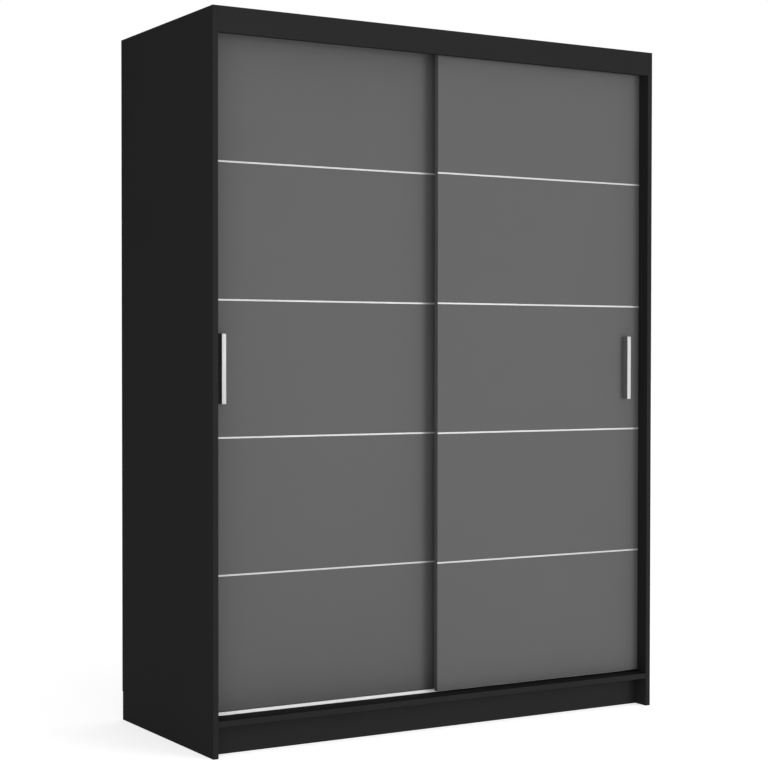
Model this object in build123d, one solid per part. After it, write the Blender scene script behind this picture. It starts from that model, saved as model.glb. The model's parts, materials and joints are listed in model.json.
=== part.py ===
from build123d import *
import os

# Two-door sliding wardrobe, in millimetres.
# +Z is up, +X is to the right and the doors face -Y.
# The origin is on the floor, under the middle of the wardrobe.
# "Depth" is always counted backwards from the front plane of the carcass.

# Overall size and boards
width = 1500
depth = 600
height = 2000
board = 16
back_thickness = 3
board_edge_radius = 0.8

# Carcass
fascia_height = 70
plinth_height = 84
plinth_setback = 50
rear_plinth_depth = 560
divider_depth = 125
shelf_depth = 130
shelf_rear_gap = 2
hat_shelf_top = 1650
shelf_count = 4

# Doors
door_height = 1863
door_bottom = 107
door_overlap = 18
door_side_gap = 0.5
front_lane_depth = 40
lane_pitch = 40

# Strips let into the doors
strip_count = 4
strip_pitch = 373.8
strip_height = 4.5
strip_groove = 2
strip_proud = 0.3

# Handles
handle_width = 12.8
handle_length = 190
handle_body_depth = 19.5
handle_face_thickness = 1.5
handle_body_edge_radius = 1
handle_face_edge_radius = 0.5
handle_edge_insets = {"left": 46.5, "right": 54}
handle_screw_spacing = 160
handle_screw_radius = 2
handle_screw_head_radius = 4
handle_screw_head_height = 2.5
handle_screw_reach = 12

# Rollers, each running on a rib of the bottom track
roller_inset = 80
wheel_groove_radius = 11
wheel_flange_radius = 13.5
wheel_width = 8
wheel_groove_width = 3
wheel_bore_radius = 2.05
axle_radius = 2
rail_running_gap = 0.3
rib_behind_door = 14
rib_height = 7
rib_thickness = 2
track_base = 1.5
track_rear_margin = 4
track_end_gap = 1

# Roller housings
housing_half_width = 18
housing_plate_half_width = 34
housing_plate = 2
housing_depth = 22
housing_bottom = 111
housing_top = 150
housing_slot_half_width = 16
housing_slot_thickness = 10
housing_slot_top = 136
housing_screw_offset = 26
axle_front = 4

# Top guides, each with a fin that runs in a channel of the top track
guide_inset = 60
guide_half_width = 20
guide_plate = 2.5
guide_bottom = 1915
guide_arm_height = 12
guide_top = 1968
guide_fin_top = 1979
guide_fin_thickness = 10
guide_screw_offset = 12
guide_screw_height = 1932
channel_width = 12
channel_wall = 1.5
channel_height = 12
stop_drop = 9

# Hanging rail and its supports
rail_height = 1590
rail_depth = 363
rail_tall = 30
rail_wide = 15
rail_wall = 1.2
rail_fit = 0.2
rail_end_gap = 0.5
support_plate = 2
support_collar = 1.5
support_collar_length = 12
support_half_height = 31
support_half_width = 11
support_screw_offset = 24

# Wall brackets
bracket_offset = 500
bracket_half_width = 15
bracket_thickness = 2
bracket_leg = 40
wall_hole_drop = 24
wall_hole_radius = 2.75
bracket_screw_depths = (568, 583)

# Fasteners
screw_radius = 1.75
screw_length = 12
screw_head_radius = 3.5
screw_head_height = 2
cam_radius = 7.5
cam_depth = 12
cam_distance = 34
cam_bolt_radius = 3
cam_bolt_anchor = 11
top_cam_depths = (40, 320, 550)
bottom_cam_depths = (30, 320, 530)
divider_cam_depths = (200, 540)
dowel_radius = 4
dowel_length = 30
dowel_anchor = 10
dowel_depths = (180, 440)
divider_dowel_depth = 380
pin_radius = 2.5
pin_anchor = 7
pin_length = 17
pin_depths = (170, 550)
nail_radius = 0.8
nail_length = 20
nail_head_radius = 2
nail_head_height = 1
nail_rows = 9
nail_columns = (185, 370, 555)

# Places worked out from the sizes above
inner_x = width / 2 - board
carcass_depth = depth - back_thickness
top_under = height - board
bottom_top = plinth_height + board
door_width = inner_x + door_overlap / 2 - door_side_gap
door_middle = door_bottom + door_height / 2
rear_lane_depth = front_lane_depth + lane_pitch
lanes = {"right": front_lane_depth, "left": rear_lane_depth}
rib_depths = [lane + board + rib_behind_door for lane in lanes.values()]
axle_height = bottom_top + track_base + rib_height + rail_running_gap + wheel_groove_radius
bays = {"left": (-inner_x, -board / 2), "right": (board / 2, inner_x)}
track_screw_depth = sum(rib_depths) / 2
track_screw_places = (-600, -300, 0, 300, 600)

RIGHT = Vector(1, 0, 0)
LEFT = Vector(-1, 0, 0)
REARWARD = Vector(0, 1, 0)
FORWARD = Vector(0, -1, 0)
UP = Vector(0, 0, 1)
DOWN = Vector(0, 0, -1)


def point(x, behind_front, z):
    """A point given by x, its depth behind the front plane and its height."""
    return Vector(x, behind_front - depth / 2, z)


def block(left, right, front, rear, bottom, top):
    """A square block between two x values, two depths and two heights."""
    middle = point((left + right) / 2, (front + rear) / 2, (bottom + top) / 2)
    return Pos(middle) * Box(right - left, rear - front, top - bottom)


def eased(shape, radius):
    """The same shape with all its edges rounded."""
    return fillet(shape.edges(), radius)


def rod(radius, start, direction, length):
    """A round rod that starts at a point and runs along a direction."""
    return Solid.make_cylinder(radius, length, Plane(origin=start, z_dir=direction))


def headed(shank_radius, head_radius, head_height, seat, inward, reach):
    """A headed fastener: its head stands on the seat and its shank goes inward."""
    shank = rod(shank_radius, seat, inward, reach)
    head = rod(head_radius, seat - inward * head_height, inward, head_height)
    return (shank + head).solid()


def pan_screw(seat, inward):
    """A small pan-head wood screw."""
    return headed(screw_radius, screw_head_radius, screw_head_height, seat, inward, screw_length)


def group(shapes):
    """Separate solids that share one node."""
    return Compound(children=[shape.solid() for shape in shapes])


# Fasteners inside the carcass -------------------------------------------------

def end_places(z, behind_front, cam_face):
    """Both ends of a cross board: the end's middle, the way into the board, the cam's face."""
    return [(point(side * inner_x, behind_front, z), Vector(-side, 0, 0), cam_face) for side in (-1, 1)]


def cam_places():
    """Every cam fitting of the carcass."""
    places = []
    for behind_front in top_cam_depths:
        places += end_places(height - board / 2, behind_front, DOWN)
    for behind_front in bottom_cam_depths:
        places += end_places(plinth_height + board / 2, behind_front, DOWN)
    places += end_places(height - fascia_height / 2, board / 2, REARWARD)
    places += end_places(plinth_height / 2, plinth_setback + board / 2, REARWARD)
    places += end_places(plinth_height / 2, rear_plinth_depth + board / 2, FORWARD)
    for behind_front in divider_cam_depths:
        places.append((point(0, behind_front, top_under), DOWN, RIGHT))
        places.append((point(0, behind_front, bottom_top), UP, RIGHT))
    return places


def cam_disc(end, into, face):
    """The round cam, flush with one face of its board."""
    return rod(cam_radius, end + into * cam_distance + face * (board / 2), face * -1, cam_depth)


def cam_bolt(end, into, reach):
    """The bolt that the cam pulls on, anchored in the board next to it."""
    return rod(cam_bolt_radius, end - into * cam_bolt_anchor, into, cam_bolt_anchor + reach)


def make_cam_discs():
    return [cam_disc(*place) for place in cam_places()]


def make_cam_bolts():
    return [cam_bolt(end, into, cam_distance - cam_radius) for end, into, _ in cam_places()]


def make_cam_bolt_holes():
    """Holes for the cam bolts, drilled on to the middle of each cam."""
    return [cam_bolt(end, into, cam_distance) for end, into, _ in cam_places()]


def make_dowels():
    """Wooden dowels between the cam fittings."""
    places = []
    for behind_front in dowel_depths:
        places += end_places(height - board / 2, behind_front, DOWN)
        places += end_places(plinth_height + board / 2, behind_front, DOWN)
    places.append((point(0, divider_dowel_depth, top_under), DOWN, RIGHT))
    places.append((point(0, divider_dowel_depth, bottom_top), UP, RIGHT))
    return [rod(dowel_radius, end - into * dowel_anchor, into, dowel_length) for end, into, _ in places]


def shelf_bottoms():
    """Heights of the undersides of the loose shelves in the right bay."""
    pitch = (hat_shelf_top - bottom_top) / (shelf_count + 1)
    return [bottom_top + pitch * (number + 1) - board for number in range(shelf_count)]


def make_shelf_pins():
    """Four pins under each shelf."""
    supported = [("left", hat_shelf_top - board), ("right", hat_shelf_top - board)]
    supported += [("right", underside) for underside in shelf_bottoms()]
    pins = []
    for bay, underside in supported:
        for wall, inward in zip(bays[bay], (RIGHT, LEFT)):
            for behind_front in pin_depths:
                start = point(wall, behind_front, underside - pin_radius) - inward * pin_anchor
                pins.append(rod(pin_radius, start, inward, pin_length))
    return pins


def back_nail(x, z):
    """A nail driven flush through the back into the edge of a board."""
    seat = point(x, depth - nail_head_height, z)
    return headed(nail_radius, nail_head_radius, nail_head_height, seat, FORWARD, nail_length)


def make_back_nails():
    """Nails round the edge of each half of the back."""
    low = plinth_height + board / 2
    high = height - board / 2
    row_heights = [low + (high - low) * row / (nail_rows - 1) for row in range(nail_rows)]
    nails = []
    for side in (-1, 1):
        for x in (board / 4, width / 2 - board / 2):
            nails += [back_nail(side * x, z) for z in row_heights]
        for x in nail_columns:
            nails += [back_nail(side * x, z) for z in (low, high)]
    return nails


def make_track_screws():
    """Screws that hold both door tracks."""
    screws = []
    for x in track_screw_places:
        screws.append(pan_screw(point(x, track_screw_depth, bottom_top + track_base), DOWN))
        screws.append(pan_screw(point(x, track_screw_depth, top_under - track_base), UP))
    return screws


def make_fitting_screws():
    """Screws that hold the hanging rail's supports and the wall brackets."""
    screws = []
    for wall, inward in zip(bays["left"], (RIGHT, LEFT)):
        for offset in (-support_screw_offset, support_screw_offset):
            seat = point(wall, rail_depth, rail_height + offset) + inward * support_plate
            screws.append(pan_screw(seat, inward * -1))
    for x in (-bracket_offset, bracket_offset):
        for behind_front in bracket_screw_depths:
            screws.append(pan_screw(point(x, behind_front, top_under - bracket_thickness), UP))
    return screws


# Carcass ----------------------------------------------------------------------

def make_boards():
    """The carcass boards before they are drilled."""
    half = width / 2
    boards = {
        "side_panel_left": block(-half, -inner_x, 0, carcass_depth, 0, height),
        "side_panel_right": block(inner_x, half, 0, carcass_depth, 0, height),
        "top_panel": block(-inner_x, inner_x, board, carcass_depth, top_under, height),
        "top_fascia": block(-inner_x, inner_x, 0, board, height - fascia_height, height),
        "bottom_panel": block(-inner_x, inner_x, 0, carcass_depth, plinth_height, bottom_top),
        "centre_divider": block(-board / 2, board / 2, divider_depth, carcass_depth, bottom_top, top_under),
        "plinth_front": block(
            -inner_x, inner_x, plinth_setback, plinth_setback + board, 0, plinth_height
        ),
        "plinth_rear": block(
            -inner_x, inner_x, rear_plinth_depth, rear_plinth_depth + board, 0, plinth_height
        ),
        "plinth_brace": block(
            -board / 2, board / 2, plinth_setback + board, rear_plinth_depth, 0, plinth_height
        ),
    }
    shelf_rear = carcass_depth - shelf_rear_gap
    for bay, (left, right) in bays.items():
        boards["hat_shelf_" + bay] = block(
            left, right, shelf_depth, shelf_rear, hat_shelf_top - board, hat_shelf_top
        )
    left, right = bays["right"]
    for number, underside in enumerate(shelf_bottoms(), start=1):
        boards[f"shelf_{number}"] = block(
            left, right, shelf_depth, shelf_rear, underside, underside + board
        )
    return {name: eased(shape, board_edge_radius) for name, shape in boards.items()}


def make_backs():
    """The two halves of the hardboard back, which meet behind the divider."""
    backs = {}
    for side, sign in (("left", -1), ("right", 1)):
        left, right = sorted((0, sign * width / 2))
        backs["back_panel_" + side] = block(left, right, carcass_depth, depth, plinth_height, height)
    return backs


def touches(shape, tool):
    """True where the two shapes' bounding boxes overlap, so that a cut may be needed."""
    one = shape.bounding_box()
    other = tool.bounding_box()
    return all(
        low < high
        for low, high in (
            (max(one.min.X, other.min.X), min(one.max.X, other.max.X)),
            (max(one.min.Y, other.min.Y), min(one.max.Y, other.max.Y)),
            (max(one.min.Z, other.min.Z), min(one.max.Z, other.max.Z)),
        )
    )


def drilled(shape, tools):
    """A board with the holes of every fastener that reaches it."""
    near = [tool for tool in tools if touches(shape, tool)]
    return (shape - near).solid() if near else shape.solid()


def make_carcass(fasteners):
    """The drilled carcass boards."""
    tools = [tool for shapes in fasteners.values() for tool in shapes]
    tools += make_cam_bolt_holes()
    wall_hole_start = carcass_depth - bracket_thickness
    for x in (-bracket_offset, bracket_offset):
        start = point(x, wall_hole_start, top_under - wall_hole_drop)
        tools.append(rod(wall_hole_radius, start, REARWARD, back_thickness + bracket_thickness))
    panels = make_boards() | make_backs()
    return {name: drilled(shape, tools) for name, shape in panels.items()}


def make_bottom_track(screws):
    """Aluminium track: a flat base with one upright rib for each door."""
    front = min(rib_depths) - rib_thickness / 2
    rear = max(rib_depths) + track_rear_margin
    half = inner_x - track_end_gap
    base_top = bottom_top + track_base
    track = block(-half, half, front, rear, bottom_top, base_top)
    for rib_depth in rib_depths:
        track += block(
            -half, half, rib_depth - rib_thickness / 2, rib_depth + rib_thickness / 2,
            base_top, base_top + rib_height,
        )
    return drilled(track, screws)


def make_top_track(screws):
    """Guide track under the top panel: a base with two downward channels."""
    half = inner_x - track_end_gap
    wall_offset = channel_width / 2 + channel_wall
    front = min(rib_depths) - wall_offset
    rear = max(rib_depths) + wall_offset
    base_under = top_under - track_base
    track = block(-half, half, front, rear, base_under, top_under)
    for channel_depth in rib_depths:
        for wall_front in (channel_depth - wall_offset, channel_depth + channel_width / 2):
            track += block(
                -half, half, wall_front, wall_front + channel_wall,
                top_under - channel_height, base_under,
            )
    return drilled(track, screws)


def make_door_stops():
    """Rubber stops at both ends of both guide channels."""
    fin_end = inner_x - door_side_gap - guide_inset + guide_half_width
    inner = fin_end + door_side_gap
    outer = inner_x - track_end_gap
    top = top_under - track_base
    stops = []
    for channel_depth in rib_depths:
        front = channel_depth - channel_width / 2
        for side in (-1, 1):
            left, right = sorted((side * inner, side * outer))
            stops.append(block(left, right, front, front + channel_width, top - stop_drop, top))
    return group(stops)


def rail_outline(grow):
    """Upright oval section of the hanging rail, grown by a distance on every side."""
    return SlotOverall(rail_tall + 2 * grow, rail_wide + 2 * grow, rotation=90)


def rail_plane(x, direction):
    """Section plane of the rail, with the outline's long side upright."""
    return Plane(origin=point(x, rail_depth, rail_height), x_dir=REARWARD, z_dir=direction)


def make_hanging_rail():
    """Oval steel tube between the two supports."""
    left, right = bays["left"]
    end_gap = support_plate + rail_end_gap
    section = rail_outline(0) - rail_outline(-rail_wall)
    plane = rail_plane(left + end_gap, RIGHT)
    return extrude(plane * section, amount=right - left - 2 * end_gap).solid()


def make_rail_supports(screws):
    """A screwed plate with a collar at each end of the rail."""
    supports = []
    for wall, inward in zip(bays["left"], (RIGHT, LEFT)):
        plate = extrude(
            rail_plane(wall, inward) * Rectangle(2 * support_half_width, 2 * support_half_height),
            amount=support_plate,
        )
        ring = rail_outline(rail_fit + support_collar) - rail_outline(rail_fit)
        collar_start = wall + inward.X * support_plate
        collar = extrude(rail_plane(collar_start, inward) * ring, amount=support_collar_length)
        supports.append(drilled(plate + collar, screws))
    return group(supports)


def make_wall_brackets(screws):
    """Steel angles under the top panel that take the wall screws."""
    brackets = []
    for x in (-bracket_offset, bracket_offset):
        left = x - bracket_half_width
        right = x + bracket_half_width
        rear = carcass_depth
        upper = block(
            left, right, rear - bracket_leg, rear, top_under - bracket_thickness, top_under
        )
        lower = block(left, right, rear - bracket_thickness, rear, top_under - bracket_leg, top_under)
        start = point(x, rear - bracket_thickness, top_under - wall_hole_drop)
        hole = rod(wall_hole_radius, start, REARWARD, bracket_thickness)
        brackets.append(drilled(upper + lower, screws + [hole]))
    return group(brackets)


# Doors ------------------------------------------------------------------------

def strip_heights():
    """Heights of the middles of the strips, which part a door into nearly equal fields."""
    first = door_middle - strip_pitch * (strip_count - 1) / 2
    return [first + strip_pitch * number for number in range(strip_count)]


def make_wheel(x, middle_depth):
    """Grooved wheel that straddles its rib."""
    flange = (wheel_width - wheel_groove_width) / 2
    front = point(x, middle_depth - wheel_width / 2, axle_height)
    rear = point(x, middle_depth + wheel_groove_width / 2, axle_height)
    wheel = rod(wheel_groove_radius, front, REARWARD, wheel_width)
    wheel += rod(wheel_flange_radius, front, REARWARD, flange)
    wheel += rod(wheel_flange_radius, rear, REARWARD, flange)
    return (wheel - rod(wheel_bore_radius, front, REARWARD, wheel_width)).solid()


def make_axle(x, rear_face):
    """Axle pin held by both cheeks of the roller housing."""
    start = point(x, rear_face + axle_front, axle_height)
    return rod(axle_radius, start, REARWARD, housing_depth - axle_front)


def make_roller_housing(x, rear_face, tools):
    """Housing screwed to the back of the door, open below for the wheel."""
    plate_rear = rear_face + housing_plate
    plate = block(
        x - housing_plate_half_width, x + housing_plate_half_width,
        rear_face, plate_rear, housing_bottom, housing_top,
    )
    body = block(
        x - housing_half_width, x + housing_half_width,
        plate_rear, rear_face + housing_depth, housing_bottom, housing_top,
    )
    slot_middle = rear_face + rib_behind_door
    slot = block(
        x - housing_slot_half_width, x + housing_slot_half_width,
        slot_middle - housing_slot_thickness / 2, slot_middle + housing_slot_thickness / 2,
        housing_bottom, housing_slot_top,
    )
    return drilled(plate + body - slot, tools)


def make_top_guide(x, rear_face, tools):
    """Guide screwed to the back of the door, with a fin for the top channel."""
    left = x - guide_half_width
    right = x + guide_half_width
    fin_middle = rear_face + rib_behind_door
    fin_front = fin_middle - guide_fin_thickness / 2
    fin_rear = fin_middle + guide_fin_thickness / 2
    plate = block(left, right, rear_face, rear_face + guide_plate, guide_bottom, guide_top)
    arm = block(left, right, rear_face, fin_rear, guide_top - guide_arm_height, guide_top)
    fin = block(left, right, fin_front, fin_rear, guide_top, guide_fin_top)
    return drilled(plate + arm + fin, tools)


def make_door(side):
    """All pieces of one door, by node name."""
    sign = 1 if side == "right" else -1
    outer = sign * (inner_x - door_side_gap)
    inner = outer - sign * door_width
    left, right = sorted((outer, inner))
    front_face = lanes[side]
    rear_face = front_face + board
    roller_places = (outer - sign * roller_inset, inner + sign * roller_inset)
    guide_places = (outer - sign * guide_inset, inner + sign * guide_inset)

    strips = [
        block(
            left, right, front_face - strip_proud, front_face + strip_groove,
            z - strip_height / 2, z + strip_height / 2,
        )
        for z in strip_heights()
    ]

    handle_x = outer - sign * handle_edge_insets[side]
    handle_left = handle_x - handle_width / 2
    handle_right = handle_x + handle_width / 2
    handle_low = door_middle - handle_length / 2
    handle_high = door_middle + handle_length / 2
    handle_front = front_face - handle_body_depth
    handle_body = eased(
        block(handle_left, handle_right, handle_front, front_face, handle_low, handle_high),
        handle_body_edge_radius,
    )
    handle_face = eased(
        block(
            handle_left, handle_right, handle_front - handle_face_thickness, handle_front,
            handle_low, handle_high,
        ),
        handle_face_edge_radius,
    )
    screw_seat = rear_face - handle_screw_head_height
    handle_screws = [
        headed(
            handle_screw_radius, handle_screw_head_radius, handle_screw_head_height,
            point(handle_x, screw_seat, door_middle + offset), FORWARD,
            board - handle_screw_head_height + handle_screw_reach,
        )
        for offset in (-handle_screw_spacing / 2, handle_screw_spacing / 2)
    ]

    door_screws = []
    housing_screw_height = (housing_bottom + housing_top) / 2
    for x in roller_places:
        for offset in (-housing_screw_offset, housing_screw_offset):
            seat = point(x + offset, rear_face + housing_plate, housing_screw_height)
            door_screws.append(pan_screw(seat, FORWARD))
    for x in guide_places:
        for offset in (-guide_screw_offset, guide_screw_offset):
            seat = point(x + offset, rear_face + guide_plate, guide_screw_height)
            door_screws.append(pan_screw(seat, FORWARD))

    panel = eased(
        block(left, right, front_face, rear_face, door_bottom, door_bottom + door_height),
        board_edge_radius,
    )
    axles = [make_axle(x, rear_face) for x in roller_places]
    tools = door_screws + axles
    pieces = {
        "door_panel": drilled(panel, strips + handle_screws + door_screws),
        "handle_body": drilled(handle_body, handle_screws),
        "handle_face": handle_face,
        "handle_screws": group(handle_screws),
        "roller_housings": group([make_roller_housing(x, rear_face, tools) for x in roller_places]),
        "axle_pins": group(axles),
        "top_guides": group([make_top_guide(x, rear_face, tools) for x in guide_places]),
        "hardware_screws": group(door_screws),
    }
    for number, strip in enumerate(strips, start=1):
        pieces[f"strip_{number}"] = strip
    for place, x in zip(("outer", "inner"), roller_places):
        pieces["wheel_" + place] = make_wheel(x, rear_face + rib_behind_door)
    return {f"{side}_{name}": shape for name, shape in pieces.items()}


def make_wardrobe():
    """Every node of the wardrobe, by name."""
    fasteners = {
        "cam_discs": make_cam_discs(),
        "cam_bolts": make_cam_bolts(),
        "wood_dowels": make_dowels(),
        "shelf_pins": make_shelf_pins(),
        "back_nails": make_back_nails(),
        "track_screws": make_track_screws(),
        "fitting_screws": make_fitting_screws(),
    }
    nodes = make_carcass(fasteners)
    nodes["bottom_track"] = make_bottom_track(fasteners["track_screws"])
    nodes["top_guide_track"] = make_top_track(fasteners["track_screws"])
    nodes["door_stops"] = make_door_stops()
    nodes["hanging_rail"] = make_hanging_rail()
    nodes["rail_supports"] = make_rail_supports(fasteners["fitting_screws"])
    nodes["wall_brackets"] = make_wall_brackets(fasteners["fitting_screws"])
    nodes.update({name: group(shapes) for name, shapes in fasteners.items()})
    for side in lanes:
        nodes.update(make_door(side))
    return nodes


os.makedirs("parts", exist_ok=True)
for node_name, node_shape in make_wardrobe().items():
    export_step(node_shape, f"parts/{node_name}.step")
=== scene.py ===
import json
import math

import bmesh
import bpy
from mathutils import Matrix, Vector


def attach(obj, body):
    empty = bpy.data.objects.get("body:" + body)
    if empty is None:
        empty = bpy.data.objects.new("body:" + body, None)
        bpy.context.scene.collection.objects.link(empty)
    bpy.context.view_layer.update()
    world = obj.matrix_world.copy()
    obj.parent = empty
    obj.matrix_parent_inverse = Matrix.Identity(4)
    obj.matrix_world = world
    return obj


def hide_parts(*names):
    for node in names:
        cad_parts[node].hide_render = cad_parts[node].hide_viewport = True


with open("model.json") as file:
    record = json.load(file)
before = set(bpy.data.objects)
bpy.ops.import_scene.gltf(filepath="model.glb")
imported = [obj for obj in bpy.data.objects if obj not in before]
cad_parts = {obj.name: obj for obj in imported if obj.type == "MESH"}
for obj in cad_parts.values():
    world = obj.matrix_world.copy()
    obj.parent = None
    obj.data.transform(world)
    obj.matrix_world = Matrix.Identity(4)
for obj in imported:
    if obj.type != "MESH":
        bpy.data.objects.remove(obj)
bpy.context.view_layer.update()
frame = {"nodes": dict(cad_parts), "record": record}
nodes = frame["nodes"]
slots = {entry["node"]: entry["material_slot"] for entry in frame["record"]["subparts"]}
scene = bpy.context.scene

# Camera: metres and degrees, the lens and sensor in millimetres
camera_place = (-2.8234, -4.4488, 1.0661)
camera_turn = 29.349
camera_pitch = -1.065
camera_lens = 82.06
camera_sensor = 36
camera_shift = (0.1114, 0.0094)
camera_reach = 200

# Lights: name, place, point looked at, width and height in metres, power in watts
softboxes = [
    ("key", (3.4, -6.4, 1.0), (0.0, -0.3, 1.0), 3.0, 3.0, 240),
    ("fill", (-4.0, -3.6, 2.4), (-0.6, -0.3, 1.5), 2.0, 2.0, 52),
]
# As a light, the surround grows from the dim to the bright strength towards the bright side
bright_side = Vector((0.82, -0.62, 0.05)).normalized()
dim_strength = 0.0
bright_strength = 0.85
floor_size = 120
floor_glow = 0.64

# Materials: the middle band of a noise, which is stretched to its full contrast
noise_low = 0.3
noise_high = 0.7

# Meshes, in metres and radians
weld_distance = 0.00001
round_tolerance = 0.0003
sharp_angle = math.radians(32)
flat_angle = math.radians(1)

# Mouldings, in metres; a rear face points along +Y at least this much
moulding_edge = 0.0006
edge_segments = 3
sunk_border = 0.003
sunk_depth = 0.0012
rear_facing = 0.99

# Cross recesses: the floor as a share of the mouth, and the start above the face as a share of the depth
recess_taper = 0.55
recess_start = 0.2

# Screws, as shares of the head's or the shank's radius, or of the head's height
crown_flat = 0.4
dome_drop = 0.75
dome_steps = 5
screw_recess = (1.15, 0.26, 0.6)
thread_core = 0.72
thread_pitch = 0.8
crest_steepness = 3
rings_per_turn = 6
tip_share = 0.55
screw_segments = 24

# Cam discs, as shares of the radius, or of the disc's thickness for the slot's depth
cam_chamfer = 0.04
cam_face = 0.74
cam_rim = 0.8
cam_slot = (1.1, 0.2, 0.35)
cam_segments = 40

# Wheels: rounding as a share of a flange, hub of the bore, rim of the groove, sink of half the width
flange_round = 0.25
hub_share = 2.1
rim_share = 0.92
web_sink = 0.2
rib_count = 6
rib_share = 0.85
wheel_segments = 60


# Stage ------------------------------------------------------------------------

def make_camera():
    """The camera at the reference viewing angle."""
    data = bpy.data.cameras.new("camera")
    data.sensor_width = camera_sensor
    data.lens = camera_lens
    data.shift_x, data.shift_y = camera_shift
    data.clip_end = camera_reach
    camera = bpy.data.objects.new("camera", data)
    camera.location = camera_place
    camera.rotation_euler = (math.radians(90 + camera_pitch), 0, math.radians(-camera_turn))
    scene.collection.objects.link(camera)
    scene.camera = camera


def make_softboxes():
    """Large soft area lights."""
    for name, place, target, wide, high, power in softboxes:
        data = bpy.data.lights.new(name, "AREA")
        data.shape = "RECTANGLE"
        data.size = wide
        data.size_y = high
        data.energy = power
        light = bpy.data.objects.new(name, data)
        light.location = place
        aim = Vector(target) - Vector(place)
        light.rotation_euler = aim.to_track_quat("-Z", "Y").to_euler()
        scene.collection.objects.link(light)


def make_world():
    """A surround that looks white and lights the object from its bright side."""
    world = bpy.data.worlds.new("studio")
    world.use_nodes = True
    tree = world.node_tree
    tree.nodes.clear()
    output = tree.nodes.new("ShaderNodeOutputWorld")
    mix = tree.nodes.new("ShaderNodeMixShader")
    seen = tree.nodes.new("ShaderNodeBackground")
    seen.inputs["Color"].default_value = (1, 1, 1, 1)
    seen.inputs["Strength"].default_value = 1.0
    lit = tree.nodes.new("ShaderNodeBackground")
    lit.inputs["Color"].default_value = (1, 1, 1, 1)
    direction = tree.nodes.new("ShaderNodeTexCoord")
    towards = tree.nodes.new("ShaderNodeVectorMath")
    towards.operation = "DOT_PRODUCT"
    towards.inputs[1].default_value = bright_side
    strength = tree.nodes.new("ShaderNodeMapRange")
    strength.inputs["From Min"].default_value = -1
    strength.inputs["To Min"].default_value = dim_strength
    strength.inputs["To Max"].default_value = bright_strength
    tree.links.new(direction.outputs["Generated"], towards.inputs[0])
    tree.links.new(towards.outputs["Value"], strength.inputs["Value"])
    tree.links.new(strength.outputs["Result"], lit.inputs["Strength"])
    path = tree.nodes.new("ShaderNodeLightPath")
    tree.links.new(path.outputs["Is Camera Ray"], mix.inputs["Fac"])
    tree.links.new(lit.outputs["Background"], mix.inputs[1])
    tree.links.new(seen.outputs["Background"], mix.inputs[2])
    tree.links.new(mix.outputs["Shader"], output.inputs["Surface"])
    scene.world = world


# Materials --------------------------------------------------------------------

class Material:
    """A Principled material whose nodes are added in a few short steps."""

    def __init__(self, name, metallic=0.0, specular=0.5, anisotropic=0.0):
        self.data = bpy.data.materials.new(name)
        self.data.use_nodes = True
        self.tree = self.data.node_tree
        self.shader = self.tree.nodes["Principled BSDF"]
        self.shader.inputs["Metallic"].default_value = metallic
        self.shader.inputs["Specular IOR Level"].default_value = specular
        self.shader.inputs["Anisotropic"].default_value = anisotropic

    def node(self, kind, **inputs):
        """A new node with some of its inputs set."""
        made = self.tree.nodes.new(kind)
        for key, value in inputs.items():
            made.inputs[key.replace("_", " ")].default_value = value
        return made

    def place(self, stretch):
        """Object coordinates, in metres, scaled along each axis."""
        coordinates = self.node("ShaderNodeTexCoord")
        mapping = self.node("ShaderNodeMapping")
        mapping.inputs["Scale"].default_value = stretch
        self.tree.links.new(coordinates.outputs["Object"], mapping.inputs["Vector"])
        return mapping.outputs["Vector"]

    def noise(self, scale, detail=4.0, roughness=0.55, stretch=(1, 1, 1)):
        """Noise over the surface, from 0 to 1."""
        texture = self.node("ShaderNodeTexNoise", Scale=scale, Detail=detail, Roughness=roughness)
        self.tree.links.new(self.place(stretch), texture.inputs["Vector"])
        return texture.outputs["Fac"]

    def spread(self, value, low, high):
        """A value from low to high, following the middle of a noise."""
        remap = self.node("ShaderNodeMapRange")
        remap.inputs["From Min"].default_value = noise_low
        remap.inputs["From Max"].default_value = noise_high
        remap.inputs["To Min"].default_value = low
        remap.inputs["To Max"].default_value = high
        self.tree.links.new(value, remap.inputs["Value"])
        return remap.outputs["Result"]

    def blend(self, factor, first, second):
        """A colour between two colours, each a colour or another node's output."""
        mix = self.tree.nodes.new("ShaderNodeMix")
        mix.data_type = "RGBA"
        self.tree.links.new(factor, mix.inputs["Factor"])
        for socket, colour in (("A", first), ("B", second)):
            target = [entry for entry in colours(mix.inputs) if entry.name == socket][0]
            if isinstance(colour, tuple):
                target.default_value = (*colour, 1)
            else:
                self.tree.links.new(colour, target)
        return colours(mix.outputs)[0]

    def colour(self, output):
        """The base colour."""
        self.tree.links.new(output, self.shader.inputs["Base Color"])

    def rough(self, output):
        """The roughness."""
        self.tree.links.new(output, self.shader.inputs["Roughness"])

    def bump(self, layers):
        """Bump layers, each a height and its depth in metres, stacked into the normal."""
        previous = None
        for height, distance in layers:
            bump = self.node("ShaderNodeBump", Strength=1.0, Distance=distance)
            self.tree.links.new(height, bump.inputs["Height"])
            if previous:
                self.tree.links.new(previous, bump.inputs["Normal"])
            previous = bump.outputs["Normal"]
        self.tree.links.new(previous, self.shader.inputs["Normal"])


def colours(sockets):
    """The colour sockets among a node's inputs or outputs."""
    return [socket for socket in sockets if socket.type == "RGBA"]


def grey(value, tint=0.0):
    """A neutral colour, a little cooler with more tint."""
    return (value * (1 - tint), value, value * (1 + tint))


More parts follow.
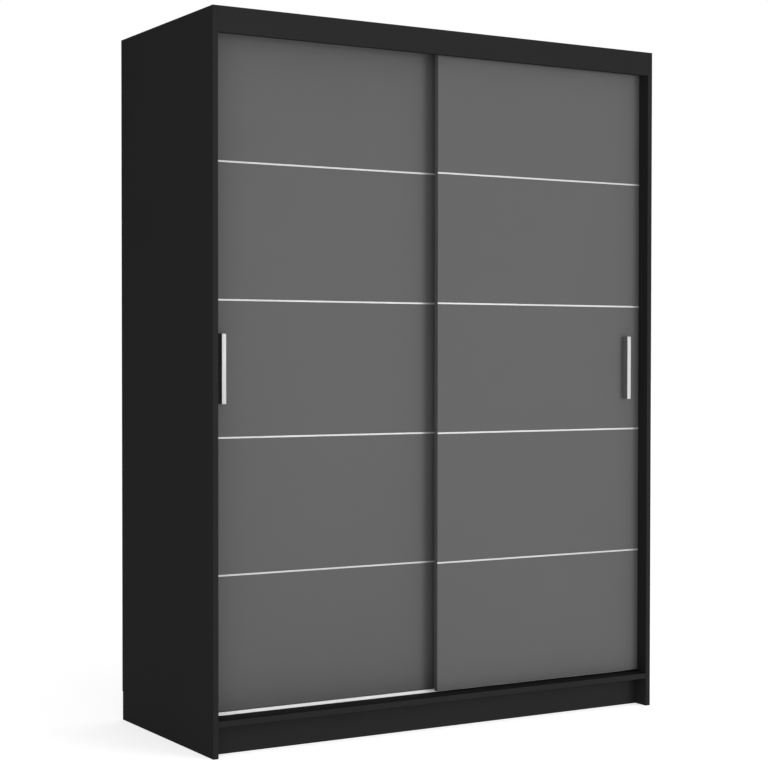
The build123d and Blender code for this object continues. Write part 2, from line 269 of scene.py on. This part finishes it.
def melamine(name, low, high, rough_low, rough_high, specular):
    """Melamine-faced board: fine pearl grain, faint clouding and darker speckle."""
    material = Material(name, specular=specular)
    cloud = material.noise(scale=2.2, detail=3.0)
    speckle = material.noise(scale=900.0, detail=2.0)
    pearl = material.noise(scale=420.0, detail=3.0, roughness=0.6)
    soft = material.blend(material.spread(cloud, 0.0, 1.0), grey(low), grey(high))
    material.colour(material.blend(material.spread(speckle, 0.0, 0.35), soft, grey(low * 0.7)))
    material.rough(material.spread(cloud, rough_low, rough_high))
    material.bump([(pearl, 0.00012), (speckle, 0.00005)])
    return material.data


def brushed_aluminium(name, low, high, stretch, metallic):
    """Satin anodised aluminium, brushed along one axis."""
    material = Material(name, metallic=metallic, anisotropic=0.4)
    lines = material.noise(scale=60.0, detail=6.0, roughness=0.7, stretch=stretch)
    cloud = material.noise(scale=5.0, detail=2.0)
    material.colour(material.blend(material.spread(lines, 0.0, 1.0), grey(low, 0.005), grey(high, 0.005)))
    material.rough(material.spread(cloud, 0.4, 0.48))
    material.bump([(lines, 0.00002)])
    return material.data


def moulded_plastic(name, value, rough_low=0.5, rough_high=0.62):
    """Moulded plastic with a fine spark-eroded grain."""
    material = Material(name, specular=0.4)
    grain = material.noise(scale=1500.0, detail=2.0)
    cloud = material.noise(scale=14.0)
    material.colour(material.blend(material.spread(cloud, 0.0, 1.0), grey(value * 0.9), grey(value * 1.1)))
    material.rough(material.spread(cloud, rough_low, rough_high))
    material.bump([(grain, 0.00006)])
    return material.data


def zinc(name):
    """Bright zinc plating with faint spangle."""
    material = Material(name, metallic=1.0)
    spangle = material.noise(scale=260.0, detail=3.0)
    material.colour(material.blend(material.spread(spangle, 0.0, 1.0), grey(0.5, 0.02), grey(0.66, 0.02)))
    material.rough(material.spread(spangle, 0.28, 0.42))
    material.bump([(spangle, 0.00003)])
    return material.data


def chrome(name):
    """Polished tube with faint draw lines along it."""
    material = Material(name, metallic=1.0)
    lines = material.noise(scale=80.0, detail=5.0, stretch=(0.02, 1, 1))
    material.colour(material.blend(material.spread(lines, 0.0, 1.0), grey(0.7, 0.01), grey(0.8, 0.01)))
    material.rough(material.spread(lines, 0.1, 0.18))
    material.bump([(lines, 0.00001)])
    return material.data


def hardboard(name, low, high):
    """Lacquered hardboard with short pressed fibres."""
    material = Material(name, specular=0.3)
    fibres = material.noise(scale=300.0, detail=6.0, roughness=0.7, stretch=(1, 1, 0.25))
    cloud = material.noise(scale=1.6, detail=3.0)
    base = material.blend(material.spread(cloud, 0.0, 1.0), grey(low), grey(high))
    material.colour(material.blend(material.spread(fibres, 0.0, 0.4), base, grey(high * 1.5)))
    material.rough(material.spread(fibres, 0.55, 0.75))
    material.bump([(fibres, 0.0001)])
    return material.data


def beech(name):
    """Bare turned beech with grain along its length."""
    material = Material(name, specular=0.3)
    grain = material.noise(scale=900.0, detail=5.0, stretch=(0.1, 1, 1))
    dark_wood = (0.42, 0.27, 0.15)
    light_wood = (0.62, 0.44, 0.28)
    material.colour(material.blend(material.spread(grain, 0.0, 1.0), dark_wood, light_wood))
    material.rough(material.spread(grain, 0.6, 0.8))
    material.bump([(grain, 0.00008)])
    return material.data


def floor_paint(name):
    """Pale matt studio floor, which glows a little so that it looks white."""
    material = Material(name, specular=0.1)
    cloud = material.noise(scale=0.6, detail=3.0)
    grain = material.noise(scale=40.0, detail=3.0)
    material.colour(material.blend(material.spread(cloud, 0.0, 1.0), grey(0.93), grey(0.95)))
    material.rough(material.spread(cloud, 0.8, 0.9))
    material.bump([(grain, 0.0002)])
    material.shader.inputs["Emission Color"].default_value = (1, 1, 1, 1)
    material.shader.inputs["Emission Strength"].default_value = floor_glow
    return material.data


def make_floor():
    """A wide plain floor."""
    bpy.ops.mesh.primitive_plane_add(size=floor_size, location=(0, 0, 0))
    floor = bpy.context.object
    floor.name = "floor"
    floor.data.materials.append(floor_paint("floor_paint"))


def make_materials():
    """Every material, by its slot in the record, and one for metal brushed upright, painted a little
    darker than the strips as painted shade against the fill lamp's light on the handles.
    """
    x_lines = (0.02, 1, 1)
    z_lines = (1, 1, 0.02)
    return {
        # Painted shade: the handle faces are the strips' satin aluminium made darker, to take off the
        # extra light that the fill lamp throws on them.
        "shaded_upright_satin": brushed_aluminium(
            "shaded_satin_handle", low=0.35, high=0.4, stretch=z_lines, metallic=0.25),
        "black_board": melamine(
            "black_melamine", low=0.0182, high=0.0208, rough_low=0.7, rough_high=0.8, specular=0.01),
        "grey_door": melamine(
            "grey_melamine", low=0.0885, high=0.0965, rough_low=0.5, rough_high=0.6, specular=0.12),
        "satin_strip": brushed_aluminium(
            "satin_strip", low=0.39, high=0.44, stretch=x_lines, metallic=0.25),
        # Painted light: the track is the same aluminium given a near-white colour and no metal sheen, so
        # that it stays bright in the shade under the doors.
        "track_aluminium": brushed_aluminium(
            "track_aluminium", low=0.94, high=0.98, stretch=x_lines, metallic=0.0),
        "handle_grey": moulded_plastic("handle_grey", value=0.11),
        "back_hardboard": hardboard("back_hardboard", low=0.02, high=0.026),
        "rail_chrome": chrome("rail_chrome"),
        "zinc_fittings": zinc("zinc_plating"),
        "beech": beech("beech"),
        "stop_rubber": moulded_plastic("stop_rubber", value=0.03, rough_low=0.7, rough_high=0.85),
        "roller_plastic": moulded_plastic("roller_plastic", value=0.045),
        "wheel_nylon": moulded_plastic("wheel_nylon", value=0.6, rough_low=0.35, rough_high=0.45),
    }


def paint_nodes():
    """Gives every CAD node the material of its slot in the record."""
    for node, slot in slots.items():
        # The handle faces take the darker copy of the strip aluminium, which is painted shade against the
        # fill lamp.
        finish = "shaded_upright_satin" if node.endswith("handle_face") else slot
        nodes[node].data.materials.clear()
        nodes[node].data.materials.append(materials[finish])


# Solids of the CAD nodes ------------------------------------------------------

class Rod:
    """A round solid of a CAD node: its middle, axis, length and radii, and the way out of its thick end.

    radii gives the radii of its corners by their distance from the middle, along the axis.
    """

    def __init__(self, points):
        low = Vector([min(point[axis] for point in points) for axis in range(3)])
        high = Vector([max(point[axis] for point in points) for axis in range(3)])
        spans = high - low
        self.middle = (low + high) / 2
        self.axis = [axis for axis in range(3) if is_round_about(spans, axis)][0]
        self.length = spans[self.axis]
        self.radii = {}
        for point in points:
            sideways = point - self.middle
            sideways[self.axis] = 0
            reach = round(point[self.axis] - self.middle[self.axis], 5)
            self.radii.setdefault(reach, set()).add(round(sideways.length, 5))
        widest = {reach: max(radii) for reach, radii in self.radii.items()}
        ends = (min(widest), max(widest))
        self.outward = unit(self.axis, 1 if widest[ends[1]] > widest[ends[0]] else -1)
        self.head_radius = max(widest.values())
        self.shank_radius = min(widest[end] for end in ends)
        head = [abs(reach) for reach, radius in widest.items() if radius == self.head_radius]
        self.head_height = max(head) - min(head) if len(head) > 1 else 0.0

    def end(self):
        """The middle of the face that looks outward."""
        return self.middle + self.outward * self.length / 2

    def place(self):
        """The transform from a piece made about Z, its outer face at zero, to this solid."""
        return Matrix.Translation(self.end()) @ self.outward.to_track_quat("Z", "Y").to_matrix().to_4x4()


def unit(axis, sign):
    """The unit vector along one axis."""
    vector = Vector((0, 0, 0))
    vector[axis] = sign
    return vector


def is_round_about(spans, axis):
    """True where the spans along the other two axes are equal, as they are across a round solid."""
    others = [span for number, span in enumerate(spans) if number != axis]
    return abs(others[0] - others[1]) < round_tolerance


def welded(mesh):
    """A bmesh copy of a mesh with its doubled corners joined."""
    shape = bmesh.new()
    shape.from_mesh(mesh)
    bmesh.ops.remove_doubles(shape, verts=shape.verts, dist=weld_distance)
    return shape


def connected_points(start, seen):
    """The places of the corners that edges join to the first one; each is added to seen."""
    seen.add(start)
    waiting = [start]
    points = []
    while waiting:
        corner = waiting.pop()
        points.append(corner.co.copy())
        for edge in corner.link_edges:
            other = edge.other_vert(corner)
            if other not in seen:
                seen.add(other)
                waiting.append(other)
    return points


def solids(name):
    """The round solids of a CAD node."""
    shape = welded(nodes[name].data)
    seen = set()
    found = []
    for corner in shape.verts:
        if corner not in seen:
            found.append(Rod(connected_points(corner, seen)))
    shape.free()
    return found


# Mesh making ------------------------------------------------------------------

def lathe(outline, segments, closed=False, shift=None):
    """A body turned about Z from (radius, height) points; shift may move each point a little."""
    shape = bmesh.new()
    rings = []
    for radius, height in outline:
        ring = []
        for number in range(segments if radius else 1):
            angle = math.tau * number / segments
            out, up = shift(radius, height, angle) if shift else (radius, height)
            ring.append(shape.verts.new((out * math.cos(angle), out * math.sin(angle), up)))
        rings.append(ring)
    following = rings[1:] + rings[:1] if closed else rings[1:]
    for upper, lower in zip(rings, following):
        for number in range(segments):
            after = (number + 1) % segments
            corners = [
                upper[number % len(upper)], upper[after % len(upper)],
                lower[after % len(lower)], lower[number % len(lower)],
            ]
            shape.faces.new(list(dict.fromkeys(corners)))
    bmesh.ops.recalc_face_normals(shape, faces=shape.faces)
    return to_mesh(shape)


def to_mesh(shape):
    """A mesh from a bmesh, which is freed."""
    mesh = bpy.data.meshes.new("part")
    shape.to_mesh(mesh)
    shape.free()
    return mesh


def helper(mesh):
    """An object that holds a mesh in the scene for a moment."""
    body = bpy.data.objects.new("helper", mesh)
    scene.collection.objects.link(body)
    return body


def applied(body):
    """The mesh of a helper object after its modifiers; the helper is removed."""
    graph = bpy.context.evaluated_depsgraph_get()
    result = bpy.data.meshes.new_from_object(body.evaluated_get(graph))
    bpy.data.objects.remove(body)
    return result


def wing(long, wide, deep, turn):
    """One wing of a cross recess, tapered downwards from just above zero."""
    shape = bmesh.new()
    bmesh.ops.create_cube(shape, size=1)
    for corner in shape.verts:
        taper = 1 if corner.co.z > 0 else recess_taper
        corner.co.x *= long * taper
        corner.co.y *= wide * taper
        corner.co.z = deep * recess_start if corner.co.z > 0 else -deep
    bmesh.ops.rotate(shape, verts=shape.verts, matrix=Matrix.Rotation(turn, 3, "Z"))
    return to_mesh(shape)


def carved(mesh, tool_mesh):
    """The first mesh with the second cut out of it."""
    body = helper(mesh)
    tool = helper(tool_mesh)
    cut = body.modifiers.new("cut", "BOOLEAN")
    cut.operation = "DIFFERENCE"
    cut.solver = "EXACT"
    cut.object = tool
    result = applied(body)
    bpy.data.objects.remove(tool)
    return result


def recessed(mesh, long, wide, deep):
    """A mesh with a cross recess in its outer face."""
    for turn in (0, math.pi / 2):
        mesh = carved(mesh, wing(long, wide, deep, turn))
    return mesh


def sink_rear_faces(shape):
    """Sinks the rearmost flat faces, and leaves a border round them and round their holes."""
    rear = max(corner.co.y for corner in shape.verts)
    faces = [
        face for face in shape.faces
        if face.normal.y > rear_facing and rear - face.calc_center_median().y < weld_distance
    ]
    bmesh.ops.inset_region(shape, faces=faces, thickness=sunk_border, depth=-sunk_depth)


def softened(mesh, sunk):
    """A copy of a mesh with its sharp edges rounded off, and with sunk rear faces if asked."""
    shape = welded(mesh)
    bmesh.ops.dissolve_limit(shape, angle_limit=flat_angle, verts=shape.verts, edges=shape.edges)
    if sunk:
        sink_rear_faces(shape)
    body = helper(to_mesh(shape))
    bevel = body.modifiers.new("round", "BEVEL")
    bevel.width = moulding_edge
    bevel.segments = edge_segments
    bevel.limit_method = "ANGLE"
    bevel.angle_limit = sharp_angle
    return applied(body)


def add_piece(name, mesh, places, body, node):
    """One piece of equal copies, in place of a CAD node and in its finish."""
    shape = bmesh.new()
    for place in places:
        copy = mesh.copy()
        copy.transform(place)
        shape.from_mesh(copy)
        bpy.data.meshes.remove(copy)
    data = to_mesh(shape)
    data.name = name
    data.shade_smooth()
    data.set_sharp_from_angle(angle=sharp_angle)
    data.materials.clear()
    data.materials.append(materials[slots[node]])
    piece = bpy.data.objects.new(name, data)
    scene.collection.objects.link(piece)
    normals = piece.modifiers.new("normals", "WEIGHTED_NORMAL")
    normals.keep_sharp = True
    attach(piece, body)
    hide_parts(node)


# Fasteners, mouldings and wheels ----------------------------------------------

def screw_mesh(rod):
    """A domed screw with a cross recess and a real thread that runs out at its tip."""
    head = rod.head_radius
    seat = -rod.head_height
    tip = -rod.length
    run_out = tip + 2 * rod.shank_radius
    core = rod.shank_radius * thread_core
    pitch = rod.shank_radius * thread_pitch
    outline = [(0, 0), (head * crown_flat, 0)]
    for step in range(1, dome_steps + 1):
        angle = math.pi / 2 * step / dome_steps
        out = crown_flat + (1 - crown_flat) * math.sin(angle)
        outline.append((head * out, seat * dome_drop * (1 - math.cos(angle))))
    outline += [(head, seat), (core, seat)]
    rings = round((seat - run_out) / pitch * rings_per_turn)
    outline += [(core, seat + (run_out - seat) * ring / rings) for ring in range(1, rings + 1)]
    outline += [(core * tip_share, (run_out + tip) / 2), (0, tip)]

    def thread(radius, height, angle):
        """Raises a helical crest along the shank."""
        if radius != core or not run_out < height < seat:
            return radius, height
        phase = (height / pitch - angle / math.tau) % 1
        crest = max(0, 1 - abs(phase - 0.5) * crest_steepness)
        return core + (rod.shank_radius - core) * crest, height

    long, wide, deep = screw_recess
    mesh = lathe(outline, screw_segments, shift=thread)
    return recessed(mesh, head * long, head * wide, rod.head_height * deep)


def cam_mesh(rod):
    """A cast cam disc: a flat rim, a sunk face with a cross slot, and chamfered edges."""
    radius = rod.head_radius
    bottom = -rod.length
    ease = radius * cam_chamfer
    outline = [
        (0, -ease), (radius * cam_face, -ease), (radius * cam_rim, 0), (radius - ease, 0), (radius, -ease),
        (radius, bottom + ease), (radius - ease, bottom), (0, bottom),
    ]
    long, wide, deep = cam_slot
    return recessed(lathe(outline, cam_segments), radius * long, radius * wide, rod.length * deep)


def make_screws():
    """Every screw, in place of the plain CAD ones."""
    holders = {"track_screws": "carcass", "fitting_screws": "carcass"}
    for side in ("left", "right"):
        holders[f"{side}_hardware_screws"] = f"{side}_door"
        holders[f"{side}_handle_screws"] = f"{side}_door"
    for node, body in holders.items():
        rods = solids(node)
        places = [rod.place() for rod in rods]
        add_piece(node + "_detail", screw_mesh(rods[0]), places, body, node)


def make_cams():
    """The cam discs, each turned so that its slot looks out of its board."""
    bolts = solids("cam_bolts")
    discs = solids("cam_discs")
    for disc in discs:
        bolt = min(bolts, key=lambda rod: (rod.middle - disc.middle).length)
        off_board_middle = disc.middle[disc.axis] - bolt.middle[disc.axis]
        disc.outward = unit(disc.axis, 1 if off_board_middle > 0 else -1)
    places = [disc.place() for disc in discs]
    add_piece("cam_discs_detail", cam_mesh(discs[0]), places, "carcass", "cam_discs")


def wheel_mesh(rod):
    """A moulded grooved wheel: rounded flanges, a hub and thin webs between ribs."""
    half = rod.length / 2
    flange = rod.head_radius
    groove_half = min(abs(reach) for reach in rod.radii)
    bore, groove = sorted({radius for radii in rod.radii.values() for radius in radii})[:2]
    round_off = (half - groove_half) * flange_round
    hub = bore * hub_share
    rim = groove * rim_share
    web = half * (1 - web_sink)
    shoulder = half - round_off
    one_side = [
        (bore, shoulder), (bore + round_off, half), (hub - round_off, half), (hub, shoulder),
        (hub + round_off / 2, web), (rim - round_off / 2, web), (rim, shoulder),
        (rim + round_off, half), (flange - round_off, half), (flange, shoulder),
        (flange, groove_half + round_off * 2), (flange - round_off, groove_half + round_off),
        (groove, groove_half),
    ]
    other_side = [(radius, -height) for radius, height in reversed(one_side)]

    def ribs(radius, height, angle):
        """Leaves ribs at full height between the sunk webs."""
        if abs(height) != web or math.cos(angle * rib_count) < rib_share:
            return radius, height
        return radius, math.copysign(shoulder, height)

    mesh = lathe(one_side + other_side, wheel_segments, closed=True, shift=ribs)
    mesh.transform(Matrix.Translation((0, 0, -half)))
    return mesh


def make_mouldings():
    """The moulded and pressed hardware, with its edges rounded off."""
    moulded = {"door_stops": "carcass", "rail_supports": "carcass", "wall_brackets": "carcass"}
    for side in ("left", "right"):
        moulded[f"{side}_roller_housings"] = f"{side}_door"
        moulded[f"{side}_top_guides"] = f"{side}_door"
    for node, body in moulded.items():
        mesh = softened(nodes[node].data, sunk=body != "carcass")
        add_piece(node + "_detail", mesh, [Matrix.Identity(4)], body, node)


def make_wheels():
    """The four running wheels."""
    for side in ("left", "right"):
        for place in ("outer", "inner"):
            node = f"{side}_wheel_{place}"
            rod = solids(node)[0]
            add_piece(node + "_detail", wheel_mesh(rod), [rod.place()], node, node)


# The scene --------------------------------------------------------------------

make_camera()
make_softboxes()
make_world()
make_floor()
materials = make_materials()
paint_nodes()
make_screws()
make_cams()
make_mouldings()
make_wheels()
scene.view_settings.view_transform = "Standard"
